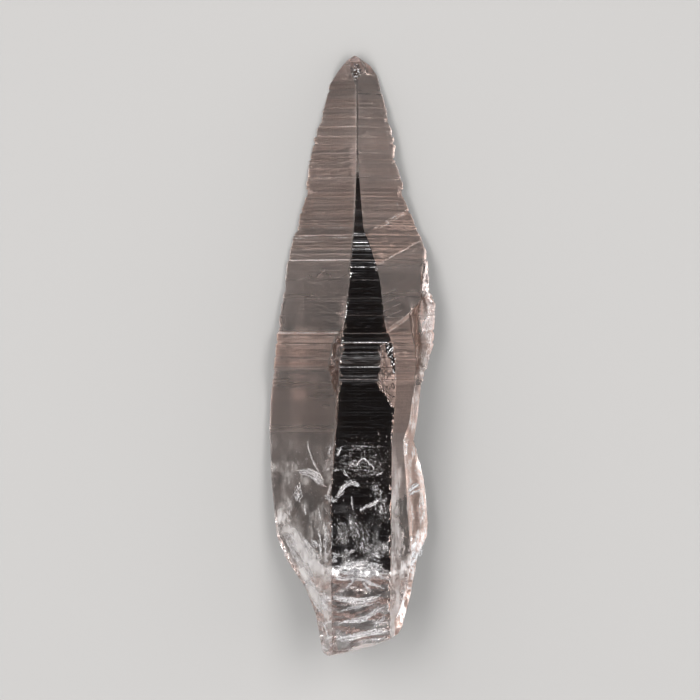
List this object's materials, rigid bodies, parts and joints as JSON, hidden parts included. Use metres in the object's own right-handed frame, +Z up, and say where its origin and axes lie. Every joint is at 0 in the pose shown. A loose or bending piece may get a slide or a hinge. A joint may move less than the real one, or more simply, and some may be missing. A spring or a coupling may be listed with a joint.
{
  "type": "lemurian quartz crystal",
  "caption": "Clear tapering quartz point with ladder-like growth ledges, a clear front window and a white, conchoidal broken base. A mineral specimen that lies on its flat back face.",
  "frame": {"origin": "on the flat back face that the crystal lies on, under the middle of its box", "axes": "+Y towards the tip, +Z up out of the front window, +X to the right as seen from the front"},
  "size_m": [0.0292, 0.1054, 0.0228],
  "materials": {
    "quartz": "clear quartz, satin on its ledged faces, polished on its front window, white where it is fractured"
  },
  "bodies": {
    "root": {"crystal": "quartz"}
  },
  "joints": []
}
